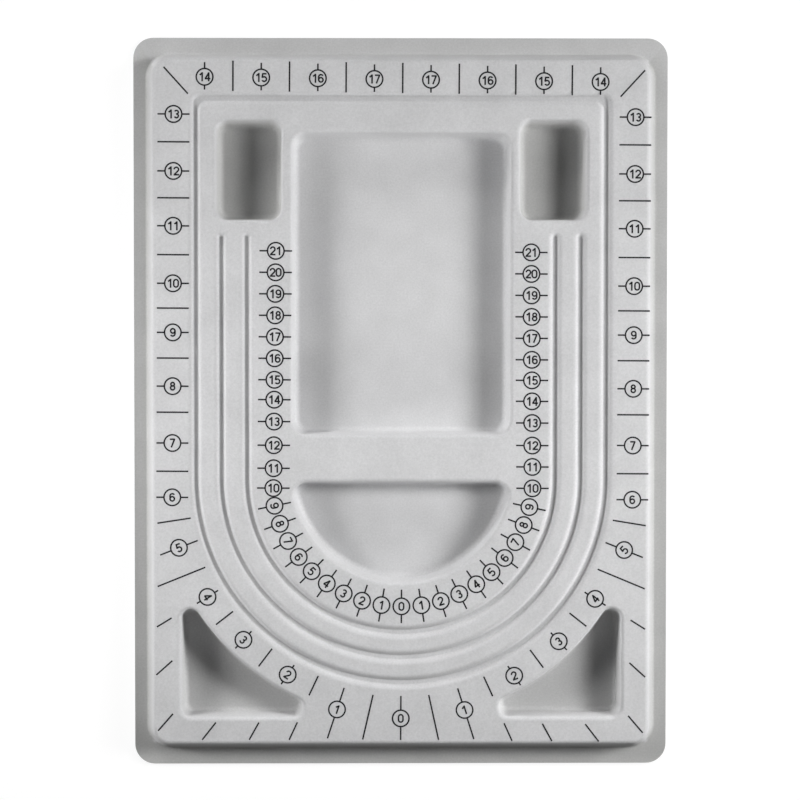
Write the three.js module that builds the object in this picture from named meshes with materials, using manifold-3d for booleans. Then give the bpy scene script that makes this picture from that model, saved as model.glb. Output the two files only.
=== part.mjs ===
// A bead board: one thermoformed plastic tray with a flocked top face.
// Millimetres, +Z up. The origin is at the middle of the face that rests on the table,
// and +Y points to the end with the two small wells.
import * as THREE from "three";
import Module from "manifold-3d";

const degree = Math.PI / 180;

// Overall size, over the flange and from the table to the top of the flock
const boardWidth = 240;
const boardLength = 327;
const boardHeight = 13;
const boardCornerRadius = 9;

// Layers
const sheetThickness = 1.1;
const glueLine = 0.1;
const flockThickness = 0.5;

// Flange and raised deck
const flangeSideWidth = 6;
const flangeEndWidth = 7.4;
const deckDraft = 18 * degree;
const deckCornerRadius = 7;
const deckEdgeRadius = 2;
const deckFootRadius = 1.2;

// Bands of flat deck between the pressed features
const rulerSideBand = 19.1; // deck edge to the outer groove, at the sides
const rulerTopBand = 17.3; // deck edge to the outer groove, at the top
const bottomBand = 27.3; // deck edge to the outer groove, at the bottom
const innerBand = 19.8; // innermost groove to the large well
const halfWellBand = 22.2; // innermost groove to the half-round well, at the bottom
const topBand = 15; // outer groove to the large well
const bridgeWidth = 20.9; // large well to the half-round well
const smallWellTopBand = 9.3; // outer groove to the top of a small well
const smallWellSideBand = 8.6; // outer groove to the side of a small well
const smallWellWall = 3.9; // small well to the large well
const cornerWellBand = 11.8; // deck edge to a corner well
const curvedBand = 17.1; // outer groove to a corner well
const grooveEndBand = 7.7; // small well to the ends of the inner grooves

// Grooves
const innerGrooves = 2;
const groovePitch = 11.3;
const grooveDepth = 1.8;
const grooveDraft = 38 * degree;
const grooveFloorHalf = 0.6;
const grooveFloorRadius = 0.8;
const grooveRimRadius = 2.4;
const outerGrooveCorner = 2;

// Wells
const wellDraft = 7 * degree;
const wellRimRadius = 1.8;
const wellFloorRadius = 2.4;
const largeWellCorner = 7;
const smallWellCorner = 6;
const smallWellLength = 44.9;
const halfWellRadius = 49.8;
const halfWellCorner = 6.5;
const halfWellChordDrop = 4.7; // the straight side lies this far below the centre of the arc
const cornerWellTip = 4.6;
const cornerWellHeel = 5;

// Facets
const cornerSteps = 3;
const bendSteps = 18;
const endSteps = 3;
const filletSteps = 2;
const smallestRadius = 0.05;
const margin = 1; // how far a tool reaches past what it cuts

// Places worked out from the sizes above
const layerTotal = flockThickness + glueLine + sheetThickness;
const lowLevel = layerTotal; // top of the flange and of the well floors, which rest on the table
const deckRise = boardHeight - lowLevel;
const deckHalfWidth = boardWidth / 2 - flangeSideWidth - deckRise * Math.tan(deckDraft);
const deckHalfLength = boardLength / 2 - flangeEndWidth - deckRise * Math.tan(deckDraft);
const outerGrooveRadius = deckHalfWidth - rulerSideBand;
const outerGrooveTop = deckHalfLength - rulerTopBand;
const bendY = bottomBand + outerGrooveRadius - deckHalfLength;
const innerGrooveRadius = outerGrooveRadius - innerGrooves * groovePitch;
const middleHalfWidth = innerGrooveRadius - innerBand;
const halfWellY = bendY - innerGrooveRadius + halfWellBand + halfWellRadius;
const chordY = halfWellY - halfWellChordDrop;
const largeWellTop = outerGrooveTop - topBand;
const largeWellBottom = chordY + bridgeWidth;
const smallWellTop = outerGrooveTop - smallWellTopBand;
const smallWellInner = middleHalfWidth + smallWellWall;
const smallWellOuter = outerGrooveRadius - smallWellSideBand;
const grooveEndY = smallWellTop - smallWellLength - grooveEndBand;

// Points of an arc about x, y from one angle to the other, clockwise where the second is smaller
function arc(x, y, radius, from, to, steps) {
  return new THREE.EllipseCurve(x, y, radius, radius, from, to, to < from).getPoints(steps);
}

function rounded(radius, grow) {
  return Math.max(radius + grow, smallestRadius);
}

// Each outline below is anticlockwise, and grow moves it outwards by that distance.

function roundedRectangle(left, right, bottom, top, radius, grow) {
  const r = rounded(radius, grow);
  const x0 = left - grow + r;
  const x1 = right + grow - r;
  const y0 = bottom - grow + r;
  const y1 = top + grow - r;
  return [
    ...arc(x1, y1, r, 0, Math.PI / 2, cornerSteps),
    ...arc(x0, y1, r, Math.PI / 2, Math.PI, cornerSteps),
    ...arc(x0, y0, r, Math.PI, 1.5 * Math.PI, cornerSteps),
    ...arc(x1, y0, r, 1.5 * Math.PI, 2 * Math.PI, cornerSteps),
  ];
}

function boardOutline(grow) {
  const x = boardWidth / 2;
  const y = boardLength / 2;
  return roundedRectangle(-x, x, -y, y, boardCornerRadius, grow);
}

function deckOutline(grow) {
  return roundedRectangle(
    -deckHalfWidth, deckHalfWidth, -deckHalfLength, deckHalfLength, deckCornerRadius, grow,
  );
}

function largeWellOutline(grow) {
  return roundedRectangle(
    -middleHalfWidth, middleHalfWidth, largeWellBottom, largeWellTop, largeWellCorner, grow,
  );
}

function smallWellOutline(grow) {
  return roundedRectangle(
    smallWellInner, smallWellOuter, smallWellTop - smallWellLength, smallWellTop, smallWellCorner, grow,
  );
}

// The same outline on the other side of the middle
function mirrored(outline) {
  return (grow) =>
    outline(grow)
      .map((point) => new THREE.Vector2(-point.x, point.y))
      .reverse();
}

// A half disc under a straight side
function halfWellOutline(grow) {
  const radius = halfWellRadius + grow;
  const chord = chordY + grow;
  const r = rounded(halfWellCorner, grow);
  const y = chord - r;
  const x = Math.sqrt((radius - r) ** 2 - (y - halfWellY) ** 2);
  const meet = Math.atan2(y - halfWellY, x);
  return [
    ...arc(x, y, r, meet, Math.PI / 2, cornerSteps),
    ...arc(-x, y, r, Math.PI / 2, Math.PI - meet, cornerSteps),
    ...arc(0, halfWellY, radius, Math.PI - meet, 2 * Math.PI + meet, bendSteps).slice(1, -1),
  ];
}

// The right-hand corner well: two straight legs and a hollow side that follows the bend
function cornerWellOutline(grow) {
  const right = deckHalfWidth - cornerWellBand + grow;
  const bottom = cornerWellBand - deckHalfLength - grow;
  const radius = outerGrooveRadius + curvedBand - grow;
  const tip = rounded(cornerWellTip, grow);
  const heel = rounded(cornerWellHeel, grow);
  const upperX = right - tip;
  const upperY = bendY - Math.sqrt((radius + tip) ** 2 - upperX ** 2);
  const lowerY = bottom + tip;
  const lowerX = Math.sqrt((radius + tip) ** 2 - (lowerY - bendY) ** 2);
  const upper = Math.atan2(upperY - bendY, upperX);
  const lower = Math.atan2(lowerY - bendY, lowerX);
  return [
    ...arc(upperX, upperY, tip, 0, upper + Math.PI, 2 * cornerSteps),
    ...arc(0, bendY, radius, upper, lower, bendSteps / 2).slice(1, -1),
    ...arc(lowerX, lowerY, tip, lower + Math.PI, 1.5 * Math.PI, 2 * cornerSteps),
    ...arc(right - heel, bottom + heel, heel, 1.5 * Math.PI, 2 * Math.PI, cornerSteps),
  ];
}

const wellOutlines = [
  largeWellOutline,
  halfWellOutline,
  smallWellOutline,
  mirrored(smallWellOutline),
  cornerWellOutline,
  mirrored(cornerWellOutline),
];

// A band round a U-shaped line of the given radius, reaching half to each side, with round ends
function grooveOutline(radius, half) {
  return [
    ...arc(0, bendY, radius + half, Math.PI, 2 * Math.PI, bendSteps),
    ...arc(radius, grooveEndY, half, 0, Math.PI, endSteps),
    ...arc(0, bendY, radius - half, 2 * Math.PI, Math.PI, bendSteps),
    ...arc(-radius, grooveEndY, half, 0, Math.PI, endSteps),
  ];
}

// The outer groove's line, closed by a straight run along the top
function outerGrooveOutline(grow) {
  const radius = outerGrooveRadius + grow;
  const r = rounded(outerGrooveCorner, grow);
  const x = radius - r;
  const y = outerGrooveTop + grow - r;
  return [
    ...arc(x, y, r, 0, Math.PI / 2, endSteps),
    ...arc(-x, y, r, Math.PI / 2, Math.PI, endSteps),
    ...arc(0, bendY, radius, Math.PI, 2 * Math.PI, bendSteps),
  ];
}

// The section of a bank from a high face to a low one: a round rim, a drafted wall and a round foot.
// Each point has its run, the distance past the edge towards the low side, and its height.
// sink moves the whole section into the material by that distance, so layers lie parallel.
function bank({ high, low, draft, rim, foot }, sink) {
  const rimRadius = Math.max(rim, sink + smallestRadius);
  const rimRun = (-rimRadius * (1 - Math.sin(draft))) / Math.cos(draft);
  const footRun = (foot + Math.sin(draft) * (high - low - foot)) / Math.cos(draft);
  const rimArc = arc(rimRun, high - rimRadius, rimRadius - sink, Math.PI / 2, draft, filletSteps);
  const footArc = arc(footRun, low + foot, foot + sink, Math.PI + draft, 1.5 * Math.PI, filletSteps);
  return [...rimArc, ...footArc].map((point) => ({ run: point.x, z: point.y }));
}

// The section of a tool that cuts a bank: it comes down through the high face along the rim's first facet.
function cuttingBank(form, sink) {
  const points = bank(form, sink);
  const [first, second] = points;
  const reach = margin / (first.z - second.z);
  const lead = {
    run: first.run + (first.run - second.run) * reach,
    z: first.z + margin,
  };
  return [lead, ...points.slice(1)];
}

const wasm = await Module();
wasm.setup();

// A closed solid through rings of equal point counts, from the top ring down
function loft(rings) {
  const count = rings[0].points.length;
  const position = rings.flatMap(({ points, z }) => points.flatMap((point) => [point.x, point.y, z]));
  const index = [];
  for (let ring = 0; ring + 1 < rings.length; ring += 1) {
    for (let here = 0; here < count; here += 1) {
      const next = (here + 1) % count;
      const upper = ring * count;
      const lower = upper + count;
      index.push(upper + here, lower + here, lower + next);
      index.push(upper + here, lower + next, upper + next);
    }
  }
  const last = (rings.length - 1) * count;
  for (const [a, b, c] of THREE.ShapeUtils.triangulateShape(rings[0].points, [])) {
    index.push(a, b, c);
  }
  for (const [a, b, c] of THREE.ShapeUtils.triangulateShape(rings[rings.length - 1].points, [])) {
    index.push(last + c, last + b, last + a);
  }
  return new wasm.Manifold(
    new wasm.Mesh({
      numProp: 3,
      vertProperties: new Float32Array(position),
      triVerts: new Uint32Array(index),
    }),
  );
}

// The flange and the raised deck as a block, sunk by sink, with its edge and base moved out by reach
function blank(sink, reach) {
  const form = {
    high: boardHeight, low: lowLevel, draft: deckDraft, rim: deckEdgeRadius, foot: deckFootRadius,
  };
  const outline = boardOutline(reach);
  return loft([
    ...bank(form, sink).map(({ run, z }) => ({ points: deckOutline(run), z })),
    { points: outline, z: lowLevel - sink },
    { points: outline, z: -margin - reach },
  ]);
}

function well(outline, sink) {
  const form = {
    high: boardHeight, low: lowLevel, draft: wellDraft, rim: wellRimRadius, foot: wellFloorRadius,
  };
  return loft(cuttingBank(form, sink).map(({ run, z }) => ({ points: outline(-run), z })));
}

const grooveForm = {
  high: boardHeight,
  low: boardHeight - grooveDepth,
  draft: grooveDraft,
  rim: grooveRimRadius,
  foot: grooveFloorRadius,
};

// Rows of a groove's section: half its width at each height
function grooveRows(sink) {
  const rows = cuttingBank(grooveForm, sink);
  const middle = rows[rows.length - 1].run + grooveFloorHalf;
  return rows.map(({ run, z }) => ({ half: middle - run, z }));
}

function innerGroove(radius, sink) {
  return loft(grooveRows(sink).map(({ half, z }) => ({ points: grooveOutline(radius, half), z })));
}

// The outer groove is a closed loop: a block to its outer bank, less a plug to its inner bank.
function outerGroove(sink) {
  const rows = grooveRows(sink);
  const block = loft(rows.map(({ half, z }) => ({ points: outerGrooveOutline(half), z })));
  const plugRings = rows.map(({ half, z }) => ({ points: outerGrooveOutline(-half), z }));
  const first = plugRings[0];
  const last = plugRings[plugRings.length - 1];
  const plug = loft([
    { points: first.points, z: first.z + margin },
    ...plugRings,
    { points: last.points, z: last.z - margin },
  ]);
  return block.subtract(plug);
}

// The board as a solid block whose top face lies sink under the top of the flock
function boardBlock(sink, reach) {
  const tools = wellOutlines.map((outline) => well(outline, sink));
  tools.push(outerGroove(sink));
  for (let groove = 1; groove <= innerGrooves; groove += 1) {
    tools.push(innerGroove(outerGrooveRadius - groove * groovePitch, sink));
  }
  return tools.reduce((board, tool) => board.subtract(tool), blank(sink, reach));
}

// One layer of the board, from its top face to its underside
function layer(topSink, bottomSink) {
  return boardBlock(topSink, 0).subtract(boardBlock(bottomSink, margin));
}

function meshOf(name, solid, material) {
  const { vertProperties, triVerts } = solid.getMesh();
  const geometry = new THREE.BufferGeometry();
  geometry.setAttribute("position", new THREE.BufferAttribute(vertProperties, 3));
  geometry.setIndex(new THREE.BufferAttribute(triVerts, 1));
  geometry.computeVertexNormals();
  const mesh = new THREE.Mesh(geometry, new THREE.MeshStandardMaterial(material));
  mesh.name = name;
  return mesh;
}

const sheetTop = flockThickness + glueLine;
const board = new THREE.Group();
board.add(
  meshOf("formed_tray", layer(sheetTop, layerTotal), { color: 0xc4c5c4, roughness: 0.45, metalness: 0 }),
  meshOf("flock_coat", layer(0, flockThickness), { color: 0xcacbcb, roughness: 1, metalness: 0 }),
);

export default board;
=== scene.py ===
import math

import bpy
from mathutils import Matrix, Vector


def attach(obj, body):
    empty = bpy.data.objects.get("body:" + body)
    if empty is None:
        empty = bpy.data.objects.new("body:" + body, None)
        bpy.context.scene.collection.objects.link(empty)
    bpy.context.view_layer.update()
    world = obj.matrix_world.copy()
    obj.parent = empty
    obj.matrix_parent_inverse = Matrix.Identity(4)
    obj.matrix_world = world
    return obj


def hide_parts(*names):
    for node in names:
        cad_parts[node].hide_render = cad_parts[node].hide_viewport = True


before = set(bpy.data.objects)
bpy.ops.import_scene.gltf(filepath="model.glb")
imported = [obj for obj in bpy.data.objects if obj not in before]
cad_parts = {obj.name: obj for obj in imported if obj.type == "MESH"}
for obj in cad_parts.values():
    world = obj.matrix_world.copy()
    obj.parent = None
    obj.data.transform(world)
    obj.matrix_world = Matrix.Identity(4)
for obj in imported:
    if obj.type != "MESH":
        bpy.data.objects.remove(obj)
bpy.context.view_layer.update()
mm = 0.001  # sizes are in millimetres, lamps and camera in metres
print("bead board: frame loaded")


# small tools for working by hand

def pick(things):
    bpy.ops.object.select_all(action="DESELECT")
    for thing in things:
        thing.select_set(True)
    bpy.context.view_layer.objects.active = things[0]


def openMesh(thing, mode="FACE"):
    pick([thing])
    bpy.ops.object.mode_set(mode="EDIT")
    bpy.ops.mesh.select_mode(type=mode)
    bpy.ops.mesh.select_all(action="SELECT")


def closeMesh():
    bpy.ops.object.mode_set(mode="OBJECT")


def twinOf(thing, name):
    twin = thing.copy()
    twin.data = thing.data.copy()
    twin.name = name
    bpy.context.scene.collection.objects.link(twin)
    return twin


def joinTo(name, things):
    pick(things)
    bpy.ops.object.join()
    whole = bpy.context.object
    whole.name = name
    whole.data.name = name
    bpy.ops.object.transform_apply(location=True, rotation=True, scale=True)
    return whole


def discard(things):
    pick(things)
    bpy.ops.object.delete()


# turns a sheet over if its first face, a flat one, looks down
def faceUp(plate):
    if plate.data.polygons[0].normal.z < 0:
        openMesh(plate)
        bpy.ops.mesh.flip_normals()
        closeMesh()


# how finely outlines are drawn: steps in a plate's corner, degrees in a step of the pen
drawSizes = {
    "cornerSteps": 12, "fineStep": 7.5, "bendStep": 1.875, "leastSteps": 3,
    "bendFrom": 15.0,  # a turn of this radius or more is a bend
    "weld": 0.004,
}


# a flat plate with round corners, lying at height z
def roundedPlate(name, left, right, bottom, top, radius, z):
    bpy.ops.object.select_all(action="DESELECT")
    middle = ((left + right) / 2 * mm, (bottom + top) / 2 * mm, z * mm)
    bpy.ops.mesh.primitive_plane_add(size=1, location=middle)
    plate = bpy.context.object
    plate.name = name
    plate.scale = ((right - left) * mm, (top - bottom) * mm, 1)
    bpy.ops.object.transform_apply(location=True, rotation=True, scale=True)
    openMesh(plate)
    bpy.ops.mesh.bevel(
        offset=radius * mm, segments=drawSizes["cornerSteps"], profile=0.5, affect="VERTICES")
    closeMesh()
    return plate


# A pen that starts at a point with a heading and makes runs and turns.
# It drags one point for an outline, or an edge as wide as the nib for a stroke.
def drawPen(name, start, heading, moves, z, nib=0.0, side=1, fineStep=drawSizes["fineStep"]):
    bpy.ops.object.select_all(action="DESELECT")
    bpy.ops.mesh.primitive_plane_add(size=mm, location=(0, 0, 0))
    drawn = bpy.context.object
    drawn.name = name
    openMesh(drawn, "VERT")
    bpy.ops.mesh.merge(type="CENTER")
    way = math.radians(heading if side > 0 else 180 - heading)
    here = Vector((start[0] * side * mm, start[1] * mm, z * mm))
    across = Vector((-math.sin(way), math.cos(way), 0)) * nib * mm
    bpy.ops.transform.translate(value=here - across / 2)
    if nib:
        bpy.ops.mesh.extrude_region_move(TRANSFORM_OT_translate={"value": across})
        bpy.ops.mesh.select_all(action="SELECT")
    for move in moves:
        if len(move) == 1:  # a straight run
            step = Vector((math.cos(way), math.sin(way), 0)) * move[0] * mm
            bpy.ops.mesh.extrude_region_move(TRANSFORM_OT_translate={"value": step})
            here = here + step
            continue
        radius = move[0] * mm
        turn = math.radians(move[1]) * side
        hand = 1 if turn > 0 else -1
        centre = here + Vector((-math.sin(way), math.cos(way), 0)) * radius * hand
        fine = fineStep if move[0] < drawSizes["bendFrom"] else drawSizes["bendStep"]
        steps = max(drawSizes["leastSteps"], round(abs(move[1]) / fine))
        bpy.ops.mesh.spin(steps=steps, angle=-turn, center=centre, axis=(0, 0, 1))
        way += turn
        here = centre + Vector((math.sin(way), -math.cos(way), 0)) * radius * hand
    closeMesh()
    return drawn


def drawPlate(name, start, heading, moves, z, side=1):
    plate = drawPen(name, start, heading, moves, z, side=side)
    openMesh(plate, "VERT")
    bpy.ops.mesh.remove_doubles(threshold=drawSizes["weld"] * mm)
    bpy.ops.mesh.select_all(action="SELECT")
    bpy.ops.mesh.edge_face_add()
    closeMesh()
    faceUp(plate)
    return plate


# runs and drops of a bank from a high face to a low one: round rim, drafted wall, round foot
def bankSteps(depth, rim, foot, draft, rimSteps, footSteps):
    tilt = math.radians(draft)
    swing = math.pi / 2 - tilt
    wallDrop = depth - (rim + foot) * (1 - math.sin(tilt))
    steps = []
    for step in range(rimSteps):
        a = swing * step / rimSteps
        b = swing * (step + 1) / rimSteps
        steps.append((rim * (math.sin(b) - math.sin(a)), rim * (math.cos(a) - math.cos(b))))
    steps.append((wallDrop * math.tan(tilt), wallDrop))
    for step in range(footSteps):
        a = swing * (footSteps - step) / footSteps
        b = swing * (footSteps - step - 1) / footSteps
        steps.append((foot * (math.sin(a) - math.sin(b)), foot * (math.cos(b) - math.cos(a))))
    return steps


# how far the round rim starts outside the line where deck and wall would meet
def rimStart(rim, draft):
    tilt = math.radians(draft)
    return rim * (1 - math.sin(tilt)) / math.cos(tilt)


def pressIn(plate, steps):
    openMesh(plate)
    for run, drop in steps:
        bpy.ops.mesh.inset(
            thickness=run * mm, depth=-drop * mm, use_boundary=True, use_even_offset=True)
    closeMesh()


# the outlines of plates in one mesh, left open with all edges selected
def openOutlines(name, plates):
    lines = joinTo(name, [twinOf(plate, name) for plate in plates])
    openMesh(lines)
    bpy.ops.mesh.delete(type="ONLY_FACE")
    bpy.ops.mesh.select_mode(type="EDGE")
    bpy.ops.mesh.select_all(action="SELECT")
    return lines


# a flat sheet between plates: the first one's outline is filled, less the others
def fillBetween(name, plates):
    sheet = openOutlines(name, plates)
    bpy.ops.mesh.fill(use_beauty=True)
    closeMesh()
    return sheet


# a ring of faces between the edges of two plates
def ringBetween(name, plates):
    ring = openOutlines(name, plates)
    bpy.ops.mesh.bridge_edge_loops()
    closeMesh()
    faceUp(ring)
    return ring


# the pressed sheet, drawn once as the top face of the flock

sheetSizes = {
    "halfWidth": 120.0, "halfLength": 163.5, "corner": 9.0,
    "flangeTop": 1.7, "deckTop": 12.95,
    "deckHalfWidth": 110.33, "deckHalfLength": 152.43, "deckCorner": 7.0,
    "deckDraft": 18.0, "deckEdge": 2.0, "deckFoot": 1.2, "edgeSteps": 7, "footSteps": 5,
    "margin": 0.3,  # a strip of flat face before each rim, which keeps the flats' shading clean
    "weld": 0.008,
}
wellSizes = {
    "rim": 1.8, "floorRound": 2.4, "draft": 7.0, "rimSteps": 7, "floorSteps": 6,
    "large": (-48.83, 48.83, -14.33, 120.13, 7.0),  # left, right, bottom, top and corner
    "small": (52.73, 82.63, 80.93, 125.83, 6.0),
    "halfRadius": 49.8, "halfY": -30.53, "chordY": -35.23, "halfCorner": 6.5,
    "cornerX": 98.53, "cornerY": -140.63, "hollowRadius": 108.33, "tip": 4.6, "heel": 5.0,
    "cornerFloorRound": 2.0, "cornerMargin": 0.1,
}
grooveSizes = {
    "depth": 1.8, "rim": 2.4, "floorRound": 0.8, "draft": 38.0, "floorHalf": 0.6,
    "rimSteps": 6, "floorSteps": 4,
    "bendY": -33.9, "radii": (79.93, 68.63), "endY": 73.23,
    "outerRadius": 91.23, "outerTop": 135.13, "outerCorner": 2.0, "panelCorner": 1.2,
}

deckTop = sheetSizes["deckTop"]
flangeTop = sheetSizes["flangeTop"]
margin = sheetSizes["margin"]
deckDepth = deckTop - flangeTop

# flange and deck wall
deckSteps = bankSteps(
    deckDepth, sheetSizes["deckEdge"], sheetSizes["deckFoot"], sheetSizes["deckDraft"],
    sheetSizes["edgeSteps"], sheetSizes["footSteps"])
deckRun = sum(run for run, drop in deckSteps)
footOut = deckRun - rimStart(sheetSizes["deckEdge"], sheetSizes["deckDraft"]) + margin
flangePlate = roundedPlate(
    "flange", -sheetSizes["halfWidth"], sheetSizes["halfWidth"],
    -sheetSizes["halfLength"], sheetSizes["halfLength"], sheetSizes["corner"], flangeTop)
deckWall = roundedPlate(
    "deckWall", -sheetSizes["deckHalfWidth"] - footOut, sheetSizes["deckHalfWidth"] + footOut,
    -sheetSizes["deckHalfLength"] - footOut, sheetSizes["deckHalfLength"] + footOut,
    sheetSizes["deckCorner"] + footOut, flangeTop)
flangeRing = ringBetween("flangeRing", [flangePlate, deckWall])
edgeStep = [(margin, 0.0)]
pressIn(deckWall, edgeStep + [(run, -drop) for run, drop in reversed(deckSteps)] + edgeStep)
openMesh(deckWall)
bpy.ops.mesh.select_all(action="DESELECT")
closeMesh()
for face in deckWall.data.polygons:
    face.select = len(face.vertices) > 4  # only the top face has more corners than four
bpy.ops.object.mode_set(mode="EDIT")
bpy.ops.mesh.separate(type="SELECTED")  # the deck's top face becomes the plate that is filled
closeMesh()
deckPlate = [thing for thing in bpy.context.selected_objects if thing != deckWall][0]
deckPlate.name = "deckPlate"
print("flange and deck wall raised")

# outlines of the wells at the deck
wellGrow = rimStart(wellSizes["rim"], wellSizes["draft"]) + margin


def wellPlate(name, left, right, bottom, top, corner):
    return roundedPlate(
        name, left - wellGrow, right + wellGrow, bottom - wellGrow, top + wellGrow,
        corner + wellGrow, deckTop)


largeWell = wellPlate("largeWell", *wellSizes["large"])
left, right, bottom, top, corner = wellSizes["small"]
smallWells = [
    wellPlate("smallWellRight", left, right, bottom, top, corner),
    wellPlate("smallWellLeft", -right, -left, bottom, top, corner),
]

# half-round well: a straight side above, two round corners and the arc
radius = wellSizes["halfRadius"] + wellGrow
chord = wellSizes["chordY"] + wellGrow
corner = wellSizes["halfCorner"] + wellGrow
cornerY = chord - corner
cornerX = math.sqrt((radius - corner) ** 2 - (cornerY - wellSizes["halfY"]) ** 2)
meet = math.degrees(math.atan2(wellSizes["halfY"] - cornerY, cornerX))
halfWell = drawPlate(
    "halfWell", (-cornerX, chord), 0,
    [(2 * cornerX,), (corner, -90 - meet), (radius, 2 * meet - 180), (corner, -90 - meet)], deckTop)

# corner wells: two straight legs and a hollow side that follows the bend
right = wellSizes["cornerX"] + wellGrow
bottom = wellSizes["cornerY"] - wellGrow
radius = wellSizes["hollowRadius"] - wellGrow
tip = wellSizes["tip"] + wellGrow
heel = wellSizes["heel"] + wellGrow
bendY = grooveSizes["bendY"]
upperX = right - tip
upperY = bendY - math.sqrt((radius + tip) ** 2 - upperX ** 2)
lowerY = bottom + tip
lowerX = math.sqrt((radius + tip) ** 2 - (lowerY - bendY) ** 2)
upper = math.degrees(math.atan2(bendY - upperY, upperX))
lower = math.degrees(math.atan2(bendY - lowerY, lowerX))
cornerMoves = [
    (upperY - bottom - heel,), (tip, 180 - upper), (radius, upper - lower), (tip, 90 + lower),
    (right - heel - lowerX,), (heel, 90),
]
cornerWells = [
    drawPlate("cornerWell", (right, bottom + heel), 90, cornerMoves, deckTop, side=side)
    for side in (1, -1)
]
print("well outlines drawn")

# outlines of the grooves
grooveSteps = bankSteps(
    grooveSizes["depth"], grooveSizes["rim"], grooveSizes["floorRound"], grooveSizes["draft"],
    grooveSizes["rimSteps"], grooveSizes["floorSteps"])
grooveHalf = sum(run for run, drop in grooveSteps) + grooveSizes["floorHalf"] + margin
armLength = grooveSizes["endY"] - bendY
grooves = [
    drawPlate(
        "groove", (-radius - grooveHalf, grooveSizes["endY"]), -90,
        [(armLength,), (radius + grooveHalf, 180), (armLength,), (grooveHalf, 180),
         (armLength,), (radius - grooveHalf, -180), (armLength,), (grooveHalf, 180)], deckTop)
    for radius in grooveSizes["radii"]
]


def outerLoop(name, grow, corner):
    radius = grooveSizes["outerRadius"] + grow
    height = grooveSizes["outerTop"] + grow - bendY - corner
    across = 2 * (radius - corner)
    moves = [(height,), (radius, 180), (height,), (corner, 90), (across,), (corner, 90)]
    return drawPlate(name, (-radius, bendY + height), -90, moves, deckTop)


outerEdge = outerLoop("outerGrooveEdge", grooveHalf, grooveSizes["outerCorner"] + grooveHalf)
panelEdge = outerLoop("panelEdge", -grooveHalf, grooveSizes["panelCorner"])
outerGroove = ringBetween("outerGroove", [outerEdge, panelEdge])
print("groove outlines drawn")

# the flat deck in two sheets, outside and inside the outer groove
borderDeck = fillBetween("borderDeck", [deckPlate, outerEdge] + cornerWells)
panelDeck = fillBetween("panelDeck", [panelEdge, largeWell, halfWell] + smallWells + grooves)

# the wells and grooves pressed down from it
wellSteps = bankSteps(
    deckDepth, wellSizes["rim"], wellSizes["floorRound"], wellSizes["draft"],
    wellSizes["rimSteps"], wellSizes["floorSteps"])
for plate in [largeWell, halfWell] + smallWells:
    pressIn(plate, edgeStep + wellSteps + edgeStep)
cornerWellSteps = bankSteps(
    deckDepth, wellSizes["rim"], wellSizes["cornerFloorRound"], wellSizes["draft"],
    wellSizes["rimSteps"], wellSizes["floorSteps"])
for plate in cornerWells:
    pressIn(plate, edgeStep + cornerWellSteps + [(wellSizes["cornerMargin"], 0.0)])
for plate in grooves + [outerGroove]:
    pressIn(plate, edgeStep + grooveSteps)
discard([flangePlate, deckPlate, outerEdge, panelEdge])

flockTop = joinTo(
    "flock", [flangeRing, deckWall, borderDeck, panelDeck, largeWell, halfWell, outerGroove]
    + smallWells + cornerWells + grooves)
openMesh(flockTop, "VERT")
bpy.ops.mesh.remove_doubles(threshold=sheetSizes["weld"] * mm)
bpy.ops.mesh.select_all(action="SELECT")
bpy.ops.mesh.normals_make_consistent(inside=False)
closeMesh()
faceUp(flockTop)
print("pressed sheet joined,", len(flockTop.data.polygons), "faces")


# walls: the flock lies on top, the plastic tray under it

layerSizes = {"flock": 0.57, "trayUnder": 0.6, "tray": 1.1, "smoothAngle": 50.0}


def thicken(thing, thickness):
    pick([thing])
    wall = thing.modifiers.new("wall", "SOLIDIFY")
    wall.thickness = thickness * mm
    wall.offset = -1
    wall.use_even_offset = True
    wall.use_quality_normals = True
    bpy.ops.object.modifier_apply(modifier="wall")
    bpy.ops.object.shade_smooth_by_angle(angle=math.radians(layerSizes["smoothAngle"]))


trayShell = twinOf(flockTop, "tray")
trayShell.data.name = "tray"
openMesh(trayShell, "VERT")
bpy.ops.transform.shrink_fatten(value=-layerSizes["trayUnder"] * mm, use_even_offset=True)
closeMesh()
thicken(trayShell, layerSizes["tray"])
thicken(flockTop, layerSizes["flock"])

# painted shade: the flock's colour is darkened down in the narrow wells and corner wells and on the
# flange, where shade falls, and the finish reads by how much
paintedShade = {
    "from": 12.2, "over": 5.0,  # the height where the painted shade starts, and the drop to its darkest
    "smallX": (49.5, 86.0), "smallY": 77.5, "small": 1.0,
    "cornerX": 101.0, "cornerY": -145.0, "cornerRadius": 104.0, "corner": 0.6,
    "flangeX": 111.6, "flangeY": 153.7, "flangeSide": 1.0, "flangeBack": 0.5, "flangeFront": 1.0,
}


def thinShare(x, y):
    if paintedShade["smallX"][0] < x < paintedShade["smallX"][1] and y > paintedShade["smallY"]:
        return paintedShade["small"]
    nearCorner = x < paintedShade["cornerX"] and paintedShade["cornerY"] < y < bendY
    if nearCorner and math.hypot(x, y - bendY) > paintedShade["cornerRadius"]:
        return paintedShade["corner"]
    if abs(y) > paintedShade["flangeY"]:
        return paintedShade["flangeBack"] if y > 0 else paintedShade["flangeFront"]
    return paintedShade["flangeSide"] if x > paintedShade["flangeX"] else 0.0


paintedShadeMark = flockTop.data.attributes.new("paintedShade", "FLOAT", "POINT")
for vertex in flockTop.data.vertices:
    depth = (paintedShade["from"] - vertex.co.z / mm) / paintedShade["over"]
    share = thinShare(abs(vertex.co.x) / mm, vertex.co.y / mm)
    paintedShadeMark.data[vertex.index].value = min(max(depth, 0.0), 1.0) * share
print("flock and tray given their walls")


# the printed scales: digits, rings and lines drawn with a flat nib

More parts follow.
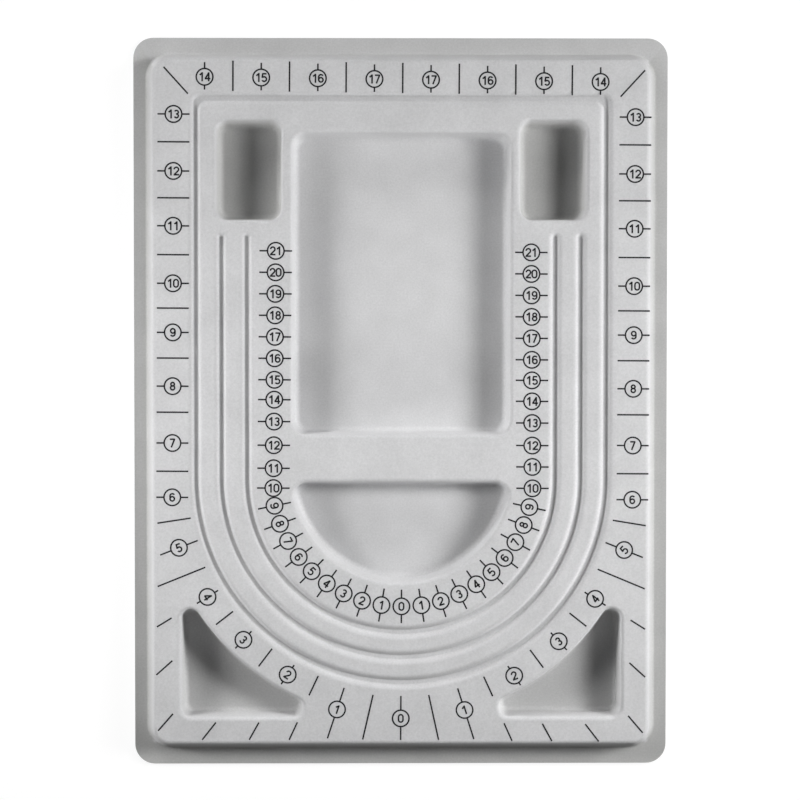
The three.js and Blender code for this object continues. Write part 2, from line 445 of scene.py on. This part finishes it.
inkSizes = {
    "digit": 0.72, "ring": 0.7, "line": 0.7,  # widths of the nib
    "digitStep": 22.5, "ringStep": 12.0, "weld": 0.01,
    "ringRadius": 3.69, "digitPitch": 2.7,
    "under": 12.93, "thickness": 0.07,
    "turn": -0.33, "turnAbout": (0.0, -130.0),  # the print sits a little askew on the board
}
inkUnder = inkSizes["under"]
# start, heading and moves of each stroke
digitStrokes = {
    "0": [((1.0, -0.67), 90, [(1.34,), (1.0, 180), (1.34,), (1.0, 180)])],
    "1": [((0.3, -2.0), 90, [(4.0,)]), ((-0.82, 0.78), 38, [(1.4,)])],
    "2": [((-0.96, 0.7), 90, [(0.97, -225), (2.1,)]), ((-1.22, -1.67), 0, [(2.45,)])],
    "3": [((-0.76, 1.1), 68, [(0.8, -248)]), ((-0.25, 0.05), 0, [(0.2,), (0.86, -250)])],
    "4": [((0.5, -2.0), 90, [(4.0,)]), ((0.5, 1.75), -121, [(3.0,)]), ((-1.25, -0.8), 0, [(2.5,)])],
    "5": [((-0.75, 1.67), 0, [(1.75,)]), ((-0.62, 1.95), -98, [(2.1,)]),
          ((-0.9, -0.15), 58, [(1.02, -298)])],
    "6": [((0.98, -0.68), 90, [(0.98, 360)]), ((-0.98, -0.68), 90, [(1.3,), (1.0, -150)])],
    "7": [((-1.15, 1.67), 0, [(2.3,)]), ((0.95, 1.8), -111, [(4.05,)])],
    "8": [((0.8, 0.86), 90, [(0.8, 360)]), ((0.92, -0.74), 90, [(0.92, 360)])],
    "9": [((0.98, 0.68), 90, [(0.98, 360)]), ((0.98, 0.68), -90, [(1.3,), (1.0, -150)])],
}


# a flat stroke gets its thickness upwards and is closed all round
def inkFilm(name, strokes):
    film = joinTo(name, strokes) if len(strokes) > 1 else strokes[0]
    film.name = name
    openMesh(film, "VERT")
    bpy.ops.mesh.remove_doubles(threshold=inkSizes["weld"] * mm)
    bpy.ops.mesh.select_mode(type="FACE")
    bpy.ops.mesh.select_all(action="SELECT")
    rise = (0, 0, inkSizes["thickness"] * mm)
    bpy.ops.mesh.extrude_region_move(TRANSFORM_OT_translate={"value": rise})
    bpy.ops.mesh.select_all(action="SELECT")
    bpy.ops.mesh.normals_make_consistent(inside=False)
    closeMesh()
    return film


digitShapes = {}
for digit, strokes in digitStrokes.items():
    name = "digit" + digit
    drawn = [
        drawPen(name, start, heading, moves, inkUnder,
                nib=inkSizes["digit"], fineStep=inkSizes["digitStep"])
        for start, heading, moves in strokes
    ]
    digitShapes[digit] = inkFilm(name, drawn)
ringRadius = inkSizes["ringRadius"]
ringShape = inkFilm("ring", [
    drawPen("ring", (ringRadius, 0), 90, [(ringRadius, 360)], inkUnder,
            nib=inkSizes["ring"], fineStep=inkSizes["ringStep"])])
lineShape = inkFilm("line", [
    drawPen("line", (0, 0), 0, [(1.0,)], inkUnder, nib=inkSizes["line"])])
print("digits and ring drawn")

placed = []


def place(shape, x, y, angle, stretch=1.0):
    twin = twinOf(shape, "mark")
    twin.location = (x * mm, y * mm, 0)
    twin.rotation_euler = (0, 0, math.radians(angle))
    twin.scale = (stretch, 1, 1)
    placed.append(twin)


def placeLine(x, y, angle, length):
    along = math.radians(angle)
    startX = x - math.cos(along) * length / 2
    startY = y - math.sin(along) * length / 2
    place(lineShape, startX, startY, angle, length)


# a number in its ring, with lines out of the ring along the scale's own direction
def placeNumber(number, x, y, lineAngle, reachAhead, reachBehind, digitAngle):
    place(ringShape, x, y, 0)
    text = str(number)
    turn = math.radians(digitAngle)
    for index, digit in enumerate(text):
        shift = (index - (len(text) - 1) / 2) * inkSizes["digitPitch"]
        place(digitShapes[digit], x + math.cos(turn) * shift, y + math.sin(turn) * shift, digitAngle)
    along = math.radians(lineAngle)
    for reach, way in ((reachAhead, 1), (reachBehind, -1)):
        length = reach - ringRadius
        centre = (ringRadius + length / 2) * way
        placeLine(x + math.cos(along) * centre, y + math.sin(along) * centre, lineAngle, length)


def finishPrint(name):
    whole = joinTo(name, list(placed))
    placed.clear()
    openMesh(whole)
    about = inkSizes["turnAbout"]
    bpy.ops.transform.rotate(
        value=-math.radians(inkSizes["turn"]), orient_axis="Z",
        center_override=(about[0] * mm, about[1] * mm, 0))
    closeMesh()
    return whole


centimetreScale = {
    "first": 10, "last": 21, "firstY": -37.85, "pitch": 9.55, "reach": 7.25,
    "columns": ((-1, -57.35, 0.0057), (1, 58.15, -0.0125)),  # side, place of the first and lean
    # side and number of those that were set too high or too low
    "nudges": {
        (-1, 10): -0.5, (-1, 11): -1.2, (-1, 12): -0.5, (-1, 13): 0.5, (-1, 14): 0.7,
        (1, 13): 0.5, (1, 14): 0.6, (1, 15): 0.4},
    "bendY": -34.4, "bendRadius": 56.5, "bendGrow": 0.17,
    "bendPitch": 9.1, "bendEase": 0.045, "bendReach": 7.5,
}
firstUp = centimetreScale["first"]
reach = centimetreScale["reach"]
for side, firstX, lean in centimetreScale["columns"]:
    for number in range(firstUp, centimetreScale["last"] + 1):
        rise = (number - firstUp) * centimetreScale["pitch"]
        y = centimetreScale["firstY"] + rise + centimetreScale["nudges"].get((side, number), 0.0)
        placeNumber(number, firstX + lean * rise, y, 0, reach, reach, 0)
reach = centimetreScale["bendReach"]
for number in range(firstUp):
    angle = number * centimetreScale["bendPitch"] - number ** 2 * centimetreScale["bendEase"]
    radius = centimetreScale["bendRadius"] + number * centimetreScale["bendGrow"]
    x = radius * math.sin(math.radians(angle))
    y = centimetreScale["bendY"] - radius * math.cos(math.radians(angle))
    for side in ((-1, 1) if number else (1,)):
        turn = angle * side
        placeNumber(number, x * side, y, 90 + turn, reach, reach, turn)
centimetrePrint = finishPrint("centimetre_scale")

inchScale = {
    "topNumbers": (17, 16, 15, 14),  # from the middle out
    "topX": -0.8, "topY": 143.5, "topLean": -0.006, "topPitch": 25.1, "topAbove": 6.5, "topBelow": 5.7,
    "topLines": range(-3, 4), "topLine": 13.4, "topLineUp": 0.6,
    "sideX": 102.55, "sideShift": 0.2, "sideReach": 7.1,
    "sideFirst": 13,  # from here down, at these heights
    "sideNumbers": (127.5, 102.3, 78.0, 52.5, 30.7, 6.8, -18.5, -42.7),
    "sideLines": (115.2, 90.4, 65.2, 41.5, 19.3, -4.8, -31.1),
    # number, place, slope of its line, reach towards the middle and away from it,
    # turn of its digit left and right
    "bendNumbers": (
        (5, 99.3, -65.2, 21.5, 9.0, 9.0, 20.0, 48.0), (4, 86.5, -87.1, 32.0, 5.6, 5.6, -58.0, 52.0),
        (3, 70.4, -106.2, 47.0, 5.3, 5.3, -43.0, 38.0), (2, 50.6, -121.7, 56.0, 5.2, 5.2, -34.0, 22.0),
        (1, 28.5, -137.2, 72.0, 10.2, 13.7, -18.0, 18.0)),
    # place, slope and length of the plain lines round the bend and along the border
    "bendLines": (
        (101.4, 142.4, -47.5, 16.0),
        (101.5, -53.1, 9.0, 15.0), (98.1, -78.2, 22.3, 22.9), (78.9, -96.5, 38.0, 9.7),
        (60.6, -114.1, 53.0, 10.0), (39.0, -126.6, 65.0, 9.7), (14.7, -140.6, 77.3, 20.6),
        (105.7, -98.6, 31.6, 7.7), (105.6, -118.9, 42.0, 9.6), (105.0, -143.3, 49.2, 10.1),
        (85.6, -147.2, 52.0, 9.9), (65.5, -147.1, 61.0, 8.9), (48.0, -147.0, 65.4, 8.7)),
    "zero": (0.0, -141.1, 90, 10.1, 9.7, 0),  # place, slope, reach up and down, turn
}
for index, number in enumerate(inchScale["topNumbers"]):
    for side in (-1, 1):
        x = inchScale["topX"] + (index + 0.5) * inchScale["topPitch"] * side
        y = inchScale["topY"] + inchScale["topLean"] * x
        placeNumber(number, x, y, 90, inchScale["topAbove"], inchScale["topBelow"], 0)
for index in inchScale["topLines"]:
    x = inchScale["topX"] + index * inchScale["topPitch"]
    y = inchScale["topY"] + inchScale["topLean"] * x + inchScale["topLineUp"]
    placeLine(x, y, 90, inchScale["topLine"])
reach = inchScale["sideReach"]
for side in (-1, 1):
    x = inchScale["sideX"] * side + inchScale["sideShift"]
    for index, y in enumerate(inchScale["sideNumbers"]):
        placeNumber(inchScale["sideFirst"] - index, x, y, 0, reach, reach, 0)
    for y in inchScale["sideLines"]:
        placeLine(x, y, 0, 2 * reach)
    for number, x, y, slope, ahead, behind, leftTurn, rightTurn in inchScale["bendNumbers"]:
        lineAngle = slope if side < 0 else 180 - slope
        placeNumber(number, x * side, y, lineAngle, ahead, behind, leftTurn if side < 0 else rightTurn)
    for x, y, slope, length in inchScale["bendLines"]:
        placeLine(x * side, y, slope if side < 0 else 180 - slope, length)
placeNumber(0, *inchScale["zero"])
inchPrint = finishPrint("inch_scale")
discard(list(digitShapes.values()) + [ringShape, lineShape])
print("scales printed")


# finishes

def newFinish(name):
    finish = bpy.data.materials.new(name)
    finish.use_nodes = True
    tree = finish.node_tree
    return finish, tree, tree.nodes["Principled BSDF"]


def setInputs(node, values):
    for socket, value in values.items():
        node.inputs[socket].default_value = value


def addNoise(tree, coords, scale, detail, roughness):
    noise = tree.nodes.new("ShaderNodeTexNoise")
    setInputs(noise, {"Scale": scale, "Detail": detail, "Roughness": roughness})
    tree.links.new(coords.outputs["Object"], noise.inputs["Vector"])
    return noise.outputs["Fac"]


# two tones, each with the level where it is reached
def addTones(tree, source, tones):
    ramp = tree.nodes.new("ShaderNodeValToRGB")
    for element, (position, colour) in zip(ramp.color_ramp.elements, tones):
        element.position = position
        element.color = colour + (1,)
    tree.links.new(source, ramp.inputs["Fac"])
    return ramp.outputs["Color"]


def multiply(tree, first, second):
    blend = tree.nodes.new("ShaderNodeMix")
    blend.data_type = "RGBA"
    blend.blend_type = "MULTIPLY"
    blend.inputs["Factor"].default_value = 1.0
    tree.links.new(first, blend.inputs["A"])
    tree.links.new(second, blend.inputs["B"])
    return blend.outputs["Result"]


def addBump(tree, shader, source, strength, height):
    bump = tree.nodes.new("ShaderNodeBump")
    setInputs(bump, {"Strength": strength, "Distance": height * mm})
    tree.links.new(source, bump.inputs["Height"])
    tree.links.new(bump.outputs["Normal"], shader.inputs["Normal"])


flockLook = {
    "fibres": (1200.0, 3.0, 0.6), "patches": (60.0, 3.0, 0.5),  # scale, detail and roughness
    "fibreTones": ((0.3, (0.555, 0.555, 0.562)), (0.7, (0.635, 0.635, 0.642))),
    "patchTones": ((0.3, (0.92, 0.92, 0.92)), (0.7, (1.0, 1.0, 1.0))),
    # painted shade: the flock's tone where the shade mark is none and where it is full
    "paintedShadeTones": ((0.0, (1.0, 1.0, 1.0)), (1.0, (0.8, 0.8, 0.78))),
    "bump": (0.12, 0.1),  # strength and height
    "surface": {
        "Roughness": 0.95, "Specular IOR Level": 0.05, "Sheen Weight": 0.12, "Sheen Roughness": 0.45},
}
flockFinish, tree, shader = newFinish("flock")
coords = tree.nodes.new("ShaderNodeTexCoord")
fibres = addNoise(tree, coords, *flockLook["fibres"])
patches = addNoise(tree, coords, *flockLook["patches"])
# painted shade: this mark darkens the flock's colour in the narrow wells, corner wells and on the
# flange
paintedShadeNode = tree.nodes.new("ShaderNodeAttribute")
paintedShadeNode.attribute_name = "paintedShade"
fibreTone = addTones(tree, fibres, flockLook["fibreTones"])
patchTone = addTones(tree, patches, flockLook["patchTones"])
paintedShadeTone = addTones(tree, paintedShadeNode.outputs["Fac"], flockLook["paintedShadeTones"])
tone = multiply(tree, multiply(tree, fibreTone, patchTone), paintedShadeTone)
tree.links.new(tone, shader.inputs["Base Color"])
setInputs(shader, flockLook["surface"])
addBump(tree, shader, fibres, *flockLook["bump"])

trayLook = {
    "draw": (35.0, 4.0, 0.55), "grain": (900.0, 2.0, 0.5),
    "drawTones": ((0.3, (0.52, 0.53, 0.53)), (0.7, (0.57, 0.58, 0.58))),
    "roughness": {"To Min": 0.34, "To Max": 0.5},
    "bump": (0.08, 0.1),
}
trayFinish, tree, shader = newFinish("tray_plastic")
coords = tree.nodes.new("ShaderNodeTexCoord")
draw = addNoise(tree, coords, *trayLook["draw"])
tree.links.new(addTones(tree, draw, trayLook["drawTones"]), shader.inputs["Base Color"])
shine = tree.nodes.new("ShaderNodeMapRange")
setInputs(shine, trayLook["roughness"])
tree.links.new(draw, shine.inputs["Value"])
tree.links.new(shine.outputs["Result"], shader.inputs["Roughness"])
addBump(tree, shader, addNoise(tree, coords, *trayLook["grain"]), *trayLook["bump"])

inkLook = {
    "cover": (1300.0, 2.0, 0.6),
    "coverTones": ((0.45, (0.016, 0.016, 0.018)), (0.75, (0.05, 0.05, 0.052))),
    "surface": {"Roughness": 0.8, "Specular IOR Level": 0.15},
}
inkFinish, tree, shader = newFinish("print_ink")
coords = tree.nodes.new("ShaderNodeTexCoord")
cover = addNoise(tree, coords, *inkLook["cover"])
tree.links.new(addTones(tree, cover, inkLook["coverTones"]), shader.inputs["Base Color"])
setInputs(shader, inkLook["surface"])

for piece, finish, slot in (
    (flockTop, flockFinish, "flock"), (trayShell, trayFinish, "tray_plastic"),
    (centimetrePrint, inkFinish, "print_ink"), (inchPrint, inkFinish, "print_ink"),
):
    piece.data.materials.clear()
    piece.data.materials.append(finish)
    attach(piece, "root")
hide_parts("flock_coat")
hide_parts("formed_tray")
print("finishes set")


# table, light and camera

studio = {
    "tableSize": 8.0, "tableDrop": 0.3,
    "table": 0.2,  # its tone for light that bounces off it
    "tableGlow": 0.9, "tableShade": 0.14,  # its glow and tone where it is seen
    "air": {"To Min": 0.008, "To Max": 1.0},  # the world's light, and its white where it is seen
    # place, aim, length along the board, height, spread and strength of each lamp
    "lamps": (
        ("highRight", (0.95, 0.2, 0.641), (0.0, 0.1, 0.0), 0.285, 0.21, 180.0, 4.48),
        ("lowRight", (0.95, 0.2, 0.463), (0.0, 0.1, 0.0), 0.285, 0.21, 180.0, 4.57),
        ("nearRight", (0.5, 0.1, 0.32), (0.0, 0.0, 0.0), 0.2, 0.17, 100.0, 0.275),
        ("sideRight", (0.7, -0.02, 0.33), (-0.03, -0.15, 0.0), 0.2, 0.17, 50.0, 0.16),
        ("highLeft", (-0.95, 0.2, 0.463), (0.0, -0.05, 0.0), 0.2, 0.23, 40.0, 0.2445),
        ("nearLeft", (-0.35, 0.0, 0.17), (0.0, 0.0, 0.0), 0.15, 0.1, 120.0, 0.1325),
        ("sideLeft", (-0.45, -0.05, 0.13), (-0.1, -0.07, 0.0), 0.2, 0.1, 70.0, 0.0754),
        ("backLeft", (-0.45, 0.6, 0.2), (0.0, 0.0, 0.0), 0.3, 0.12, 90.0, 0.5725),
        ("front", (0.0, -0.55, 0.18), (0.0, 0.23, 0.0), 0.3, 0.1, 20.0, 0.0544)),
    "lens": 90.0, "sensor": 36.0, "place": (-0.00785, 0.0219, 0.9032), "turn": (-1.33, -0.478, 0.008),
}


# 1 where the background is seen, straight, mirrored or through glass
def addSeen(tree):
    ray = tree.nodes.new("ShaderNodeLightPath")
    seen = ray.outputs["Is Camera Ray"]
    for kind in ("Is Glossy Ray", "Is Transmission Ray"):
        either = tree.nodes.new("ShaderNodeMath")
        either.operation = "MAXIMUM"
        tree.links.new(seen, either.inputs[0])
        tree.links.new(ray.outputs[kind], either.inputs[1])
        seen = either.outputs[0]
    return seen


def addMatt(tree, level):
    matt = tree.nodes.new("ShaderNodeBsdfDiffuse")
    matt.inputs["Color"].default_value = (level, level, level, 1)
    return matt.outputs[0]


bpy.ops.object.select_all(action="DESELECT")
bpy.ops.mesh.primitive_plane_add(size=studio["tableSize"], location=(0, 0, -studio["tableDrop"] * mm))
table = bpy.context.object
table.name = "table"
tableFinish, tree, shader = newFinish("table")
tree.nodes.remove(shader)
glow = tree.nodes.new("ShaderNodeEmission")
glow.inputs["Strength"].default_value = studio["tableGlow"]
pale = tree.nodes.new("ShaderNodeAddShader")
tree.links.new(glow.outputs[0], pale.inputs[0])
tree.links.new(addMatt(tree, studio["tableShade"]), pale.inputs[1])
choose = tree.nodes.new("ShaderNodeMixShader")
tree.links.new(addSeen(tree), choose.inputs[0])
tree.links.new(addMatt(tree, studio["table"]), choose.inputs[1])
tree.links.new(pale.outputs[0], choose.inputs[2])
tree.links.new(choose.outputs[0], tree.nodes["Material Output"].inputs["Surface"])
table.data.materials.append(tableFinish)

scene = bpy.context.scene
for name, spot, aim, length, height, spread, power in studio["lamps"]:
    lamp = bpy.data.lights.new(name, "AREA")
    lamp.shape = "RECTANGLE"
    lamp.size = length
    lamp.size_y = height
    lamp.spread = math.radians(spread)
    lamp.energy = power
    holder = bpy.data.objects.new(name, lamp)
    scene.collection.objects.link(holder)
    holder.location = spot
    holder.rotation_euler = (Vector(aim) - Vector(spot)).to_track_quat("-Z", "Y").to_euler()

world = bpy.data.worlds.new("air")
scene.world = world
world.use_nodes = True
tree = world.node_tree
air = tree.nodes["Background"]
air.inputs["Color"].default_value = (1, 1, 1, 1)
airLevel = tree.nodes.new("ShaderNodeMapRange")
setInputs(airLevel, studio["air"])
tree.links.new(addSeen(tree), airLevel.inputs["Value"])
tree.links.new(airLevel.outputs["Result"], air.inputs["Strength"])

cameraData = bpy.data.cameras.new("camera")
cameraData.lens = studio["lens"]
cameraData.sensor_width = studio["sensor"]
camera = bpy.data.objects.new("camera", cameraData)
scene.collection.objects.link(camera)
camera.location = studio["place"]
camera.rotation_euler = [math.radians(angle) for angle in studio["turn"]]
scene.camera = camera
scene.view_settings.view_transform = "Standard"
print("lamps and camera set")
